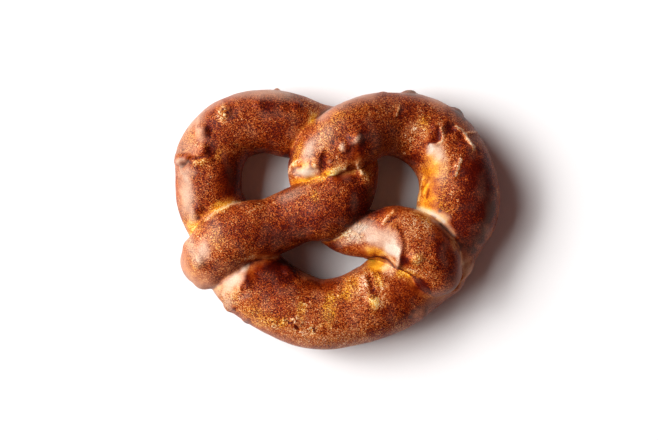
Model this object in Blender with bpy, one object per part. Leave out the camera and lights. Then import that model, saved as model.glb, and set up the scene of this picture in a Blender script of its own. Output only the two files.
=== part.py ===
"""A sweet pretzel: one soft rope of dough, crossed over itself twice, with both ends laid on the belly.

The rope is swept along its route, fused where it touches itself, given the lumps, dents and folds
of its crust, and flattened where it lay on the tray. The pretzel lies flat, its belly towards -Y,
with the origin under the middle of its outline.
"""

import math

import bmesh
import bpy
import numpy as np
from mathutils import Vector, noise
from mathutils.bvhtree import BVHTree

MM = 0.001

# The rope's route, in mm. Each station gives the rope's middle as seen from above (x, y), the
# height of its middle over the tray, its width and its depth. A rope that lies on the tray dips
# under it a little, and that sliver is cut off as its flat underside.
FIRST_ARM = [
    (-51.7, -17.5, 16.0, 21.7, 17.5),
    (-47.7, -12.3, 19.0, 23.8, 20.0),
    (-40.3, -6.6, 21.5, 24.3, 21.0),
    (-33.7, -4.4, 21.0, 24.0, 21.0),
    (-27.3, -3.4, 19.5, 23.0, 21.5),
    (-20.7, -0.8, 19.0, 22.8, 21.5),
    (-13.2, 2.4, 20.0, 23.3, 21.5),
    (-4.2, 4.2, 21.7, 25.0, 21.5),
]
FIRST_TWIST = [
    (2.4, 10.8, 19.7, 24.5, 21.5),
    (6.0, 18.9, 15.5, 21.0, 20.5),
    (5.2, 26.2, 11.0, 20.5, 18.0),
    (0.0, 32.8, 8.5, 23.0, 17.0),
    (-8.8, 34.6, 9.5, 24.0, 20.5),
]
LEFT_LOOP = [
    (-18.9, 37.6, 11.5, 26.0, 25.5),
    (-30.1, 39.2, 12.0, 25.2, 27.0),
    (-44.5, 34.1, 12.0, 26.3, 27.5),
    (-50.6, 24.9, 12.0, 27.5, 27.0),
    (-51.4, 16.4, 12.0, 26.7, 27.0),
    (-51.2, 8.2, 11.0, 26.4, 25.0),
    (-47.2, -1.3, 9.5, 27.2, 22.0),
    (-41.7, -12.8, 9.5, 27.0, 21.5),
]
BELLY = [
    (-35.6, -22.8, 11.5, 30.2, 26.0),
    (-27.3, -29.7, 12.0, 29.0, 28.0),
    (-18.9, -34.5, 12.5, 29.0, 29.0),
    (-8.4, -38.0, 12.5, 28.2, 29.0),
    (4.8, -36.6, 12.5, 28.2, 29.0),
    (15.2, -32.9, 12.5, 30.5, 29.0),
    (25.3, -28.5, 11.5, 29.3, 27.0),
]
RIGHT_LOOP = [
    (36.5, -19.7, 9.5, 28.5, 22.0),
    (44.1, -6.8, 10.5, 30.0, 25.0),
    (48.1, 3.6, 12.0, 33.0, 28.0),
    (48.9, 11.6, 13.0, 32.3, 30.0),
    (47.0, 20.4, 13.0, 30.4, 30.0),
    (39.7, 31.2, 12.5, 29.0, 29.0),
    (30.1, 36.5, 13.0, 27.3, 27.0),
    (21.1, 37.7, 16.0, 25.5, 25.0),
    (12.8, 36.3, 21.0, 25.6, 23.0),
    (5.3, 32.8, 25.0, 26.2, 22.0),
]
SECOND_TWIST = [
    (-2.4, 28.5, 23.5, 24.0, 21.0),
    (-8.0, 20.5, 17.0, 22.5, 20.0),
    (-6.4, 9.6, 9.5, 21.0, 17.0),
    (-1.2, -0.4, 11.5, 20.0, 19.0),
]
SECOND_ARM = [
    (5.6, -4.8, 16.0, 19.5, 20.5),
    (14.0, -6.2, 18.0, 19.2, 21.0),
    (23.4, -6.5, 20.5, 23.6, 21.0),
    (34.2, -11.6, 21.3, 23.2, 21.0),
    (38.3, -16.9, 20.3, 22.2, 20.0),
    (39.1, -20.8, 18.5, 21.2, 19.0),
]
ROUTE = FIRST_ARM + FIRST_TWIST + LEFT_LOOP + BELLY + RIGHT_LOOP + SECOND_TWIST + SECOND_ARM

STEP = 1.5  # distance between two rings of the rope
RING_SIDES = 48
FULLNESS = 2.25  # 2 would make the section an ellipse, more makes it fuller
CAP_RINGS = 8
CAP_REACH = 0.95  # how far an end bulges past its last station, in half widths

# The places of lumps are given as an eye high over the pretzel sees them: (x, y) in mm on a level
# at half the strands' height.
EYE = (-2.8, -0.4, 637.0)
LEVEL = 12.0

# Lumps and, with a negative height, dents of the crust: (x, y), radius and height.
LUMPS = [
    (-54.3, 35.2, 2.6, 1.5),
    (-45.4, 42.2, 2.6, 1.0),
    (-31.4, 46.2, 2.4, 0.9),
    (-15.9, 45.4, 2.5, 0.8),
    (-53.4, 26.8, 2.7, 1.2),
    (-62.6, 24.4, 3.6, 1.9),
    (-56.0, 4.4, 2.2, 1.0),
    (-13.2, 19.6, 3.6, 1.3),
    (-9.2, 21.8, 2.2, 1.0),
    (2.0, 28.9, 2.4, 1.1),
    (7.6, 32.4, 2.8, 1.4),
    (17.8, 51.2, 2.8, 1.1),
    (28.9, 51.0, 3.2, 1.4),
    (48.6, 43.2, 3.2, 1.4),
    (40.6, 32.4, 2.4, -0.7),
    (45.6, 36.2, 2.6, -0.7),
    (52.6, 29.5, 3.0, 0.8),
    (-55.4, -17.1, 2.8, 1.1),
    (-36.9, -24.9, 3.6, 0.8),
    (-19.7, -20.5, 3.0, 1.3),
    (-16.9, -42.0, 2.8, 0.8),
    (11.6, -25.2, 2.6, 0.9),
    (14.8, -33.3, 3.2, 0.9),
    (31.6, -15.9, 2.8, 1.0),
    (34.1, -38.5, 2.6, 0.9),
    (49.0, -27.8, 4.6, 1.5),
    (52.6, -20.6, 4.0, 1.2),
    (9.6, 19.5, 3.0, 1.2),
    (12.0, 15.6, 3.0, 1.0),
    (13.4, -17.4, 3.6, 1.3),
    (-43.8, -36.2, 2.2, 0.9),
    (-60.6, -10.4, 3.2, 0.8),
    (-54.6, -27.4, 3.0, 0.7),
    (-2.0, 19.4, 3.2, 1.3),
]
TAPER = 0.7  # a lump's foot runs out at its radius over this

SWELL = 0.35  # slow unevenness of the hand-rolled rope
SWELL_SIZE = 11.0

FUSE_SIZE = 1.0
SOFTEN_ROUNDS = 4
TRIANGLES = 11000
CRUST_COLOUR = (0.25, 0.062, 0.018, 1.0)


def clear_scene():
    for item in list(bpy.data.objects):
        bpy.data.objects.remove(item, do_unlink=True)


def through(stations, step):
    """Values along a smooth curve through the stations, about one step apart."""
    points = np.array(stations, float)
    gaps = np.linalg.norm(np.diff(points[:, :3], axis=0), axis=1)
    at = np.concatenate([[0.0], np.cumsum(gaps)])
    slopes = np.diff(points, axis=0) / gaps[:, None]
    tangents = np.empty_like(points)
    tangents[0], tangents[-1] = slopes[0], slopes[-1]
    before, after = gaps[:-1, None], gaps[1:, None]
    tangents[1:-1] = (slopes[:-1] * after + slopes[1:] * before) / (before + after)
    where = np.linspace(0.0, at[-1], int(at[-1] / step))
    k = np.clip(np.searchsorted(at, where, side="right") - 1, 0, len(gaps) - 1)
    gap = gaps[k][:, None]
    t = ((where - at[k]) / gaps[k])[:, None]
    return (
        (2 * t**3 - 3 * t**2 + 1) * points[k]
        + (t**3 - 2 * t**2 + t) * gap * tangents[k]
        + (3 * t**2 - 2 * t**3) * points[k + 1]
        + (t**3 - t**2) * gap * tangents[k + 1]
    )


def section():
    """The rope's section as unit steps to its side and upwards."""
    angles = np.linspace(0.0, 2 * math.pi, RING_SIDES, endpoint=False)
    power = 2 / FULLNESS
    side = np.sign(np.cos(angles)) * np.abs(np.cos(angles)) ** power
    up = np.sign(np.sin(angles)) * np.abs(np.sin(angles)) ** power
    return side, up


def rings_of(route):
    """Rings of points round the route, with a round cap of shrinking rings at each end."""
    middle = route[:, :3]
    forward = np.gradient(middle, axis=0)
    forward /= np.linalg.norm(forward, axis=1)[:, None]
    side = np.cross(forward, (0.0, 0.0, 1.0))
    side /= np.linalg.norm(side, axis=1)[:, None]
    up = np.cross(side, forward)
    side_steps, up_steps = section()

    def ring(i, scale, push):
        half_width, half_depth = route[i, 3] / 2 * scale, route[i, 4] / 2 * scale
        centre = middle[i] + forward[i] * push
        return (
            centre
            + side[i] * (half_width * side_steps)[:, None]
            + up[i] * (half_depth * up_steps)[:, None]
        )

    turns = [math.pi / 2 * k / (CAP_RINGS + 0.5) for k in range(CAP_RINGS, 0, -1)]
    last = len(route) - 1
    reach = CAP_REACH * route[:, 3] / 2
    rings = [ring(0, math.cos(turn), -reach[0] * math.sin(turn)) for turn in turns]
    rings += [ring(i, 1.0, 0.0) for i in range(len(route))]
    rings += [ring(last, math.cos(turn), reach[last] * math.sin(turn)) for turn in reversed(turns)]
    return rings


def swept_rope():
    """The rope as one closed tube that passes through itself where it crosses."""
    mesh = bmesh.new()
    loops = [[mesh.verts.new(point * MM) for point in ring] for ring in rings_of(through(ROUTE, STEP))]
    for first, second in zip(loops, loops[1:]):
        for j in range(RING_SIDES):
            k = (j + 1) % RING_SIDES
            mesh.faces.new((first[j], first[k], second[k], second[j]))
    mesh.faces.new(list(reversed(loops[0])))
    mesh.faces.new(loops[-1])
    bmesh.ops.recalc_face_normals(mesh, faces=mesh.faces)
    data = bpy.data.meshes.new("pretzel")
    mesh.to_mesh(data)
    mesh.free()
    return data


def evaluated_mesh(item):
    """A new mesh with the object's modifiers worked in."""
    graph = bpy.context.evaluated_depsgraph_get()
    return bpy.data.meshes.new_from_object(item.evaluated_get(graph))


def fuse(item):
    """Makes one skin of the rope where it touches itself, and softens the creases between."""
    melt = item.modifiers.new("fuse", "REMESH")
    melt.mode = "VOXEL"
    melt.voxel_size = FUSE_SIZE * MM
    soften = item.modifiers.new("soften", "SMOOTH")
    soften.factor = 0.5
    soften.iterations = SOFTEN_ROUNDS
    item.data = evaluated_mesh(item)
    item.modifiers.clear()


def seat_of(surface, x, y):
    """The point of the crust that the eye sees at (x, y), or the flank nearest to it."""
    eye = Vector(EYE) * MM
    target = Vector((x, y, LEVEL)) * MM
    place, _, _, _ = surface.ray_cast(eye, (target - eye).normalized())
    if place is None:
        place, _, _, _ = surface.find_nearest(target)
    return np.array(place)


def add_relief(data):
    """Raises the lumps, sinks the dents and makes the rope slightly uneven."""
    surface = BVHTree.FromPolygons([v.co for v in data.vertices], [p.vertices for p in data.polygons])
    points = np.array([v.co for v in data.vertices])
    outward = np.array([v.normal for v in data.vertices])
    rise = np.array([noise.noise(Vector(p) / (SWELL_SIZE * MM)) for p in points]) * SWELL * MM
    for x, y, radius, height in LUMPS:
        away = np.linalg.norm(points - seat_of(surface, x, y), axis=1) / (radius * MM)
        rise += height * MM * np.clip(1 - (away * TAPER) ** 2, 0.0, 1.0) ** 2
    points += outward * rise[:, None]
    data.vertices.foreach_set("co", points.ravel())
    data.update()


def thin_out(item):
    """Keeps the crust's form with far fewer faces."""
    faces = sum(len(p.vertices) - 2 for p in item.data.polygons)
    thin = item.modifiers.new("thin out", "DECIMATE")
    thin.ratio = TRIANGLES / faces


def tray():
    """The space under the tray, which flattens the rope's underside."""
    size, thickness = 0.2, 0.02
    mesh = bmesh.new()
    bmesh.ops.create_cube(mesh, size=1.0)
    data = bpy.data.meshes.new("tray")
    mesh.to_mesh(data)
    mesh.free()
    block = bpy.data.objects.new("tray", data)
    block.scale = (size, size, thickness)
    block.location = (0.0, 0.0, -thickness / 2)
    block.hide_render = True
    block.display_type = "WIRE"
    bpy.context.collection.objects.link(block)
    return block


def crust():
    material = bpy.data.materials.new("crust")
    material.use_nodes = True
    shader = material.node_tree.nodes["Principled BSDF"]
    shader.inputs["Base Color"].default_value = CRUST_COLOUR
    shader.inputs["Roughness"].default_value = 0.38
    shader.inputs["Metallic"].default_value = 0.0
    return material


def main():
    clear_scene()
    pretzel = bpy.data.objects.new("pretzel", swept_rope())
    bpy.context.collection.objects.link(pretzel)
    fuse(pretzel)
    add_relief(pretzel.data)
    pretzel.data.shade_smooth()
    pretzel.data.materials.append(crust())
    thin_out(pretzel)
    flatten = pretzel.modifiers.new("flat underside", "BOOLEAN")
    flatten.operation = "DIFFERENCE"
    flatten.object = tray()


main()
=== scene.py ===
"""The looks of the sweet pretzel: its crust with blisters, lumps, cracks and pale stretched seams.

The rope is swept and fused again, as in the part, with a much finer skin, and gets its lumps,
folds and torn places. Every point of that skin knows how well baked, torn, golden and blistered
it is and how much painted highlight it carries, and the crust's material takes its colour, gloss
and blisters from that. Its baked tone also holds painted light and shade.
"""

import math

import bmesh
import bpy
import numpy as np
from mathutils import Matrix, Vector, noise
from mathutils.bvhtree import BVHTree


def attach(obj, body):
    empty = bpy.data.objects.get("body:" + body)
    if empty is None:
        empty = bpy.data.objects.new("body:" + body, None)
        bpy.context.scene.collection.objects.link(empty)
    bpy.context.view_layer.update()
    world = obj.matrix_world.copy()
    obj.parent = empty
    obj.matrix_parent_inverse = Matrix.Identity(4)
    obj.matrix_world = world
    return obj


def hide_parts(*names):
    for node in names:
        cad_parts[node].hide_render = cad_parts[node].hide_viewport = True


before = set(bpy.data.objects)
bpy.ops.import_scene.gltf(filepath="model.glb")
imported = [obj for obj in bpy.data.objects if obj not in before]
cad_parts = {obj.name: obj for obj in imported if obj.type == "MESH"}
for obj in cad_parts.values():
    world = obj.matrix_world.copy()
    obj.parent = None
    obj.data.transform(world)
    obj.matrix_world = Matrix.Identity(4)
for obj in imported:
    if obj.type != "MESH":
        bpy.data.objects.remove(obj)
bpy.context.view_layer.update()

MM = 0.001

# The rope's route, in mm, as in the part. Each station gives the rope's middle as seen from above
# (x, y), the height of its middle over the tray, its width and its depth.
FIRST_ARM = [
    (-51.7, -17.5, 16.0, 21.7, 17.5),
    (-47.7, -12.3, 19.0, 23.8, 20.0),
    (-40.3, -6.6, 21.5, 24.3, 21.0),
    (-33.7, -4.4, 21.0, 24.0, 21.0),
    (-27.3, -3.4, 19.5, 23.0, 21.5),
    (-20.7, -0.8, 19.0, 22.8, 21.5),
    (-13.2, 2.4, 20.0, 23.3, 21.5),
    (-4.2, 4.2, 21.7, 25.0, 21.5),
]
FIRST_TWIST = [
    (2.4, 10.8, 19.7, 24.5, 21.5),
    (6.0, 18.9, 15.5, 21.0, 20.5),
    (5.2, 26.2, 11.0, 20.5, 18.0),
    (0.0, 32.8, 8.5, 23.0, 17.0),
    (-8.8, 34.6, 9.5, 24.0, 20.5),
]
LEFT_LOOP = [
    (-18.9, 37.6, 11.5, 26.0, 25.5),
    (-30.1, 39.2, 12.0, 25.2, 27.0),
    (-44.5, 34.1, 12.0, 26.3, 27.5),
    (-50.6, 24.9, 12.0, 27.5, 27.0),
    (-51.4, 16.4, 12.0, 26.7, 27.0),
    (-51.2, 8.2, 11.0, 26.4, 25.0),
    (-47.2, -1.3, 9.5, 27.2, 22.0),
    (-41.7, -12.8, 9.5, 27.0, 21.5),
]
BELLY = [
    (-35.6, -22.8, 11.5, 30.2, 26.0),
    (-27.3, -29.7, 12.0, 29.0, 28.0),
    (-18.9, -34.5, 12.5, 29.0, 29.0),
    (-8.4, -38.0, 12.5, 28.2, 29.0),
    (4.8, -36.6, 12.5, 28.2, 29.0),
    (15.2, -32.9, 12.5, 30.5, 29.0),
    (25.3, -28.5, 11.5, 29.3, 27.0),
]
RIGHT_LOOP = [
    (36.5, -19.7, 9.5, 28.5, 22.0),
    (44.1, -6.8, 10.5, 30.0, 25.0),
    (48.1, 3.6, 12.0, 33.0, 28.0),
    (48.9, 11.6, 13.0, 32.3, 30.0),
    (47.0, 20.4, 13.0, 30.4, 30.0),
    (39.7, 31.2, 12.5, 29.0, 29.0),
    (30.1, 36.5, 13.0, 27.3, 27.0),
    (21.1, 37.7, 16.0, 25.5, 25.0),
    (12.8, 36.3, 21.0, 25.6, 23.0),
    (5.3, 32.8, 25.0, 26.2, 22.0),
]
SECOND_TWIST = [
    (-2.4, 28.5, 23.5, 24.0, 21.0),
    (-8.0, 20.5, 17.0, 22.5, 20.0),
    (-6.4, 9.6, 9.5, 21.0, 17.0),
    (-1.2, -0.4, 11.5, 20.0, 19.0),
]
SECOND_ARM = [
    (5.6, -4.8, 16.0, 19.5, 20.5),
    (14.0, -6.2, 18.0, 19.2, 21.0),
    (23.4, -6.5, 20.5, 23.6, 21.0),
    (34.2, -11.6, 21.3, 23.2, 21.0),
    (38.3, -16.9, 20.3, 22.2, 20.0),
    (39.1, -20.8, 18.5, 21.2, 19.0),
]
STRETCHES = [FIRST_ARM, FIRST_TWIST, LEFT_LOOP, BELLY, RIGHT_LOOP, SECOND_TWIST, SECOND_ARM]
ROUTE = sum(STRETCHES, [])
STRETCH_OF_STATION = [n for n, stretch in enumerate(STRETCHES) for _ in stretch]

STEP = 1.5  # distance between two rings of the rope
RING_SIDES = 48
FULLNESS = 2.25  # 2 would make the section an ellipse, more makes it fuller
CAP_RINGS = 8
CAP_REACH = 0.95  # how far an end bulges past its last station, in half widths

FUSE_SIZE = 0.5
SOFTEN_ROUNDS = 8
SOFTEN_SHARE = 0.5
TRAY_ROUNDING = 0.5  # how softly the rope's side turns into its flat underside

# The camera looks straight down, and places below are given as it sees them: (x, y) in mm on a
# level at half the strands' height.
EYE = (-2.8, -0.4, 637.0)
LEVEL = 12.0
LENS = 85.0
SENSOR = 36.0
UNDER_FADE = 0.6  # how far past its widest line a flank keeps what the crust shows from above

# Unevenness: how strong it is, how large its bumps are in mm, and a number that gives each kind
# its own pattern.
SWELL = (0.35, 11.0, 0)
KNOBBLE = (0.12, 3.6, 1)
UNEVEN_BAKING = [(0.10, 13.0, 2), (0.08, 4.5, 3), (0.09, 2.2, 9)]
RAGGED_SEAMS = (0.9, 2.2, 5)
RAGGED_PATCHES = (0.6, 2.6, 6)
UNEVEN_PAINTED_HIGHLIGHT = (0.10, 5.0, 7)
UNEVEN_GOLD = (0.20, 3.4, 8)
WAVERS = [(0.30, 1.5, 10), (0.30, 1.5, 11)]  # how lines and ridges stray in x and in y
NOISE_STEPS = (17.3, -9.1, 4.7)  # how far apart two patterns are taken from the noise

TAPER = 0.7  # a lump's foot runs out at its radius over this
PATCH_EDGE = 1.5  # more makes the edges of patches sharper
TORN_EDGE = 4  # the same for torn places
# A dark band is painted shade; the milky bloom and sheen are a painted highlight and sheen.
BAND_EDGE = 0.18  # how wide the sharp side of a dark band is
PAINTED_HIGHLIGHT_STOP = 5.0  # how far a dark band keeps the milky bloom away
SHEEN_SMOOTHER = 2.6  # how much of its blisters a milky sheen takes from the skin
FAR_OFF = 99.0  # no line on the crust has an effect this far away

BAKED = 0.65  # plain crust, where 0 is pale crumb and 1 is nearly black
SEAM_BAND = 4.0  # how far the stretched skin reaches from a strand that lies over it
SEAM_PALER = 0.22
SEAM_GOLDEN = 0.4
SEAM_SMOOTHER = 0.7
OVER_BY = 1.0  # how much higher the strand on top is at least

# Lumps and, with a negative height, dents: (x, y), radius and height.
LUMPS = [
    (-54.3, 35.2, 2.6, 1.5),
    (-45.4, 42.2, 2.6, 1),
    (-31.4, 46.2, 2.4, 0.9),
    (-15.9, 45.4, 2.5, 0.8),
    (-53.4, 26.8, 2.7, 1.2),
    (-62.6, 24.4, 3.6, 1.9),
    (-57.3, 1.2, 1.8, 0.9),
    (-56, 4.4, 2.2, 1),
    (-13.2, 19.6, 3.6, 1.3),
    (-9.2, 21.8, 2.2, 1),
    (2, 28.9, 2.4, 1.1),
    (7.6, 32.4, 2.8, 1.4),
    (17.8, 51.2, 2.8, 1.1),
    (28.9, 51, 3.2, 1.4),
    (48.6, 43.2, 3.2, 1.4),
    (40.6, 32.4, 2.4, -0.7),
    (45.6, 36.2, 2.6, -0.7),
    (52.6, 29.5, 3, 0.8),
    (-55.4, -17.1, 2.8, 1.1),
    (-36.9, -24.9, 3.6, 0.8),
    (-19.7, -20.5, 3, 1.3),
    (-16.9, -42, 2.8, 0.8),
    (11.6, -25.2, 2.6, 0.9),
    (14.8, -33.3, 3.2, 0.9),
    (31.6, -15.9, 2.8, 1),
    (34.1, -38.5, 2.6, 0.9),
    (49, -27.8, 4.6, 1.5),
    (52.6, -20.6, 4, 1.2),
    (9.6, 19.5, 3, 1.2),
    (12, 15.6, 3, 1),
    (13.4, -17.4, 3.6, 1.3),
    (-43.8, -36.2, 2.2, 0.9),
    (-60.6, -10.4, 3.2, 0.8),
    (-54.6, -27.4, 3, 0.7),
    (-2, 19.4, 3.2, 1.3),
    (-41.8, -35.7, 1.4, 0.6),
    (-36.4, -41.2, 1.8, 0.6),
    (-65, 23.4, 2, 0.5),
    (39.6, 37, 1.8, 0.5),
    (-24, 52.4, 1.2, 0.9),
    (31.6, -15.6, 2, 0.5),
    (-52.9, 34.8, 1.8, 0.8),
    (-53.6, 27.6, 2, 0.4),
    (7.9, 32, 2, 0.6),
]

# Folds, and with a negative height grooves: height, how far each flank reaches to the left and
# to the right of the crest when followed from its first point, and the crest's points.
FOLDS = [
    # the wrinkle across the left loop, with its slot
    (0.9, 1, 1.8, [(-57.8, 23.4), (-55.6, 23), (-53.9, 23.3), (-52, 24)]),
    (-0.9, 0.6, 0.6, [(-63, 21), (-61, 22), (-59.6, 23.2), (-58, 24.2), (-55, 24.6), (-52, 24.5)]),
    # the tip of the right arm where it dives under the first arm
    (0.7, 0.7, 0.6, [(-15.5, 23.8), (-17, 22.4), (-18.2, 20.8), (-18.6, 18.6)]),
    (-0.6, 0.5, 0.5, [
        (-14, 21.2), (-15.2, 20.8), (-16.6, 20.2), (-17.4, 18.8), (-16.4, 17.6), (-15, 17.3),
    ]),
    (-0.7, 1.8, 0.5, [(-5.8, 25.4), (-6, 23), (-6, 20), (-6, 17.4)]),
    # ridges on the right loop, the right arm and the bend of the first arm
    (0.35, 0.9, 0.4, [(23.7, 41.2), (24.2, 42.8), (24.9, 44.4)]),
    (0.9, 1.5, 1.5, [(-5, 18), (-3, 18.7), (0, 19.5), (3, 20.4)]),
    (0.5, 1.1, 0.5, [(8.2, 22.4), (8.4, 20.6), (9, 19), (9.9, 17.4)]),
    # the torn wrinkles of the right loop
    (0.8, 0.9, 0.4, [(41.6, 36.4), (42, 34.2), (42.2, 32.6), (41.4, 31), (40, 30.2), (38.2, 30)]),
    (0.8, 0.6, 0.5, [
        (47.5, 36.8), (48.1, 36), (49.4, 35.4), (50.6, 34.1), (51.5, 33.1), (52.1, 31.6), (52.9, 30.1),
        (54.5, 28.3),
    ]),
    (0.6, 1.4, 0.5, [(47.6, 17), (48.2, 19.6), (48.8, 22), (49.8, 24)]),
    (0.4, 0.5, 0.5, [(51.8, 34.3), (55.8, 34.5)]),
    # the belly's step beside the first end and a small fold near it
    (0.25, 0.8, 2.4, [(-36.8, -20), (-36.8, -22.2), (-37.2, -24), (-38, -25.8), (-38.6, -26.8)]),
    (0.5, 0.4, 0.4, [(-38.4, -27.6), (-36.2, -27.7)]),
    # the ridges across the second arm
    (0.7, 2.6, 1, [(25, -18), (25.4, -15), (26.4, -11.6), (26, -8), (25, -5.4)]),
    (0.7, 0.7, 1.2, [(23, 2.8), (20.8, 0.8), (18.8, -1.6)]),
    # the streaks at the inner side of the right loop
    (0.5, 0.6, 0.6, [(33.4, 7), (34.4, 11), (34.5, 16.6)]),
    (0.5, 0.7, 0.5, [(35, 10.6), (35.8, 12.6), (36.6, 14.6)]),
    # the dark wrinkles of the belly
    (-0.35, 1, 0.9, [(12.8, -22.8), (13.4, -25.6), (14.2, -28.6)]),
    (-0.6, 0.5, 0.5, [(-19.2, -41.2), (-17.4, -42.2), (-16, -43.2), (-15.4, -44.2)]),
]

# Lines of another tone: how much paler, or with a negative amount darker, the half width and
# the line's points. Besides pale seams, golden lines and cracks, they hold painted highlights along
# lit ridges and rims, and painted shade in creases, slots and along the lines where strands touch.
STREAKS_AND_PAINTED_LIGHT = [
    # left loop, with painted shade in the wrinkle's slot and crease and along the right arm's edge
    (-0.45, 0.5, [(-62.5, 21), (-60.5, 22.3), (-59.5, 23.3), (-58.5, 22.5)]),
    (-0.4, 0.4, [(-58, 24.2), (-55, 24.6), (-52, 24.5)]),
    (0.12, 0.7, [(-57.5, 22.6), (-55, 22.8), (-52.5, 23.4)]),
    (0.3, 0.4, [(-51.5, 16.5), (-50, 17)]),
    (-0.35, 0.6, [(-3, 44.2), (-6, 42.4), (-8, 40.6)]),
    # the seam of the left loop at the first arm
    (0.45, 0.7, [(-52.5, -0.5), (-50, 1.8), (-48, 3), (-46, 4), (-44, 5), (-42, 6), (-39, 7)]),
    # tip of the right arm: a painted highlight along its rim and painted shade inside it and in its slit
    (0.4, 0.5, [(-15.5, 23.8), (-17, 22.5), (-18.3, 21), (-18.9, 18.8)]),
    (0.2, 0.4, [(-14.5, 23.6), (-15.5, 22.5), (-17, 21.5)]),
    (-0.4, 0.4, [(-14, 21.1), (-15.2, 20.8), (-16.6, 20.2), (-17.5, 19)]),
    (-0.6, 0.45, [(-16.6, 17.7), (-15, 17.2)]),
    (-0.5, 0.4, [(-10.5, 23.6), (-10.3, 21.6), (-9.4, 20.2)]),
    (0.3, 0.6, [(-9, 22.2), (-8.6, 20.6)]),
    # bend of the first arm, a painted highlight along its ridge
    (0.4, 0.4, [(8, 22.2), (8.2, 20.6), (8.8, 19.2), (9.6, 17.8)]),
    # right loop: painted highlights along its ridges and torn wrinkles with painted shade beside them,
    # the pale seam over the second arm with its pit and crack, and the second arm's lit ridge
    (0.5, 0.4, [(23.7, 41.2), (24.3, 43.3), (24.9, 44.5)]),
    (-0.35, 0.8, [(25.2, 40.6), (25.4, 42.6), (26.2, 45)]),
    (0.45, 0.5, [(41.6, 36.4), (41.9, 35), (42.4, 33.6), (42.6, 32.4), (42, 31), (40.6, 30.4)]),
    (1, 0.45, [(47.6, 37.2), (48.3, 36.3), (49.6, 35.9), (50.4, 35.4)]),
    (1, 0.65, [(50.6, 34.6), (51.6, 33.4), (52, 31.8), (52.6, 30.6)]),
    (1, 0.75, [(53, 30.2), (54.6, 28.6)]),
    (0.3, 0.8, [(54.6, 28.2), (54.2, 26.2)]),
    (0.35, 0.45, [(51.6, 34.6), (56.4, 34.8)]),
    (0.2, 0.4, [(44.4, 33.8), (46.4, 34.2), (48.4, 35)]),
    (0.85, 0.55, [(49.9, 24), (49.1, 22.5), (48.7, 21), (48.4, 19.5), (47.8, 17.6)]),
    (0.4, 0.5, [(47, 20.7), (48, 22)]),
    (0.3, 0.5, [(33, 7.5), (33.8, 12), (34.7, 16.5)]),
    (0.3, 0.4, [(35, 10), (36, 12.5), (36.6, 14)]),
    (-0.25, 0.4, [(36, 8.4), (36.8, 11.6)]),
    (0.28, 1.1, [(32, 4.2), (34, 3.5), (38, 2), (40, 1), (42, -0.5), (43.5, -2), (45, -4), (46.5, -5.5)]),
    (-1.2, 0.5, [(38.3, 1.5), (39.4, 0.7)]),
    (-0.65, 0.45, [(41, -1.5), (43, -3), (45, -5), (47, -7), (48.5, -9), (49.5, -11), (49.5, -12.5)]),
    (0.38, 0.45, [
        (43.2, -4.2), (45.3, -6.6), (47.2, -8.6), (48.6, -10.3), (49.4, -12.5), (49.9, -15), (50.3, -18),
    ]),
    (-0.3, 0.6, [(56.4, 29), (57, 26)]),
    # second arm: cracks, a pale streak, a painted highlight along a ridge with painted shade beside it,
    # and painted shade along the line where it lies on the belly
    (-0.8, 0.4, [(8.5, -5.8), (9.8, -4.6), (11, -3.6), (12, -3)]),
    (0.4, 0.6, [(-0.8, -8), (2, -6.3), (4, -4.5)]),
    (0.35, 0.6, [(18.5, -2), (19.5, -0.5), (21.5, 1.5), (22.5, 2.5)]),
    (-0.3, 0.5, [(20.5, -1.5), (23.5, 1)]),
    (-0.55, 0.35, [(12.5, -15.5), (16, -15), (19, -15.6), (21.3, -17), (22.5, -18.6), (23.4, -19.6)]),
    (-0.6, 0.35, [(23.4, -19.6), (26, -20.2), (28, -21.1), (30, -22.4), (34, -25), (37.5, -29.5)]),
    (0.35, 0.6, [(24.6, -14.6), (24.6, -18)]),
    # belly: painted shade along the line where the first arm lies on it, beside its step and in the
    # slot, then wrinkles, golden lines and cracks
    (-0.35, 0.6, [(-48, -26.8), (-44, -24.2), (-40, -21.5), (-36, -18.5), (-34, -17.5)]),
    (-0.25, 1.3, [(-35.4, -23.4), (-35, -26.4)]),
    (-0.35, 0.45, [(-32.6, -16.4), (-26, -16.3)]),
    (-0.28, 0.8, [(13, -22.8), (13.4, -26), (14.2, -29.6)]),
    (0.3, 0.6, [(10.6, -23), (11, -25), (12, -27)]),
    (0.3, 0.5, [(13.8, -21.8), (13.9, -23.8)]),
    (0.3, 0.5, [(16.6, -23.4), (17.4, -25.4), (18.2, -28.2)]),
    (-0.9, 0.5, [(13.8, -30.9), (14.8, -31.4), (15.6, -30.8)]),
    (-0.45, 0.5, [(-19, -41.5), (-17.2, -42.6), (-15.5, -44.5)]),
    (0.2, 0.5, [(-9.5, -37), (-6.7, -34.7)]),
    (-0.25, 0.5, [(26, -37), (30, -39.6)]),
]

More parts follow.
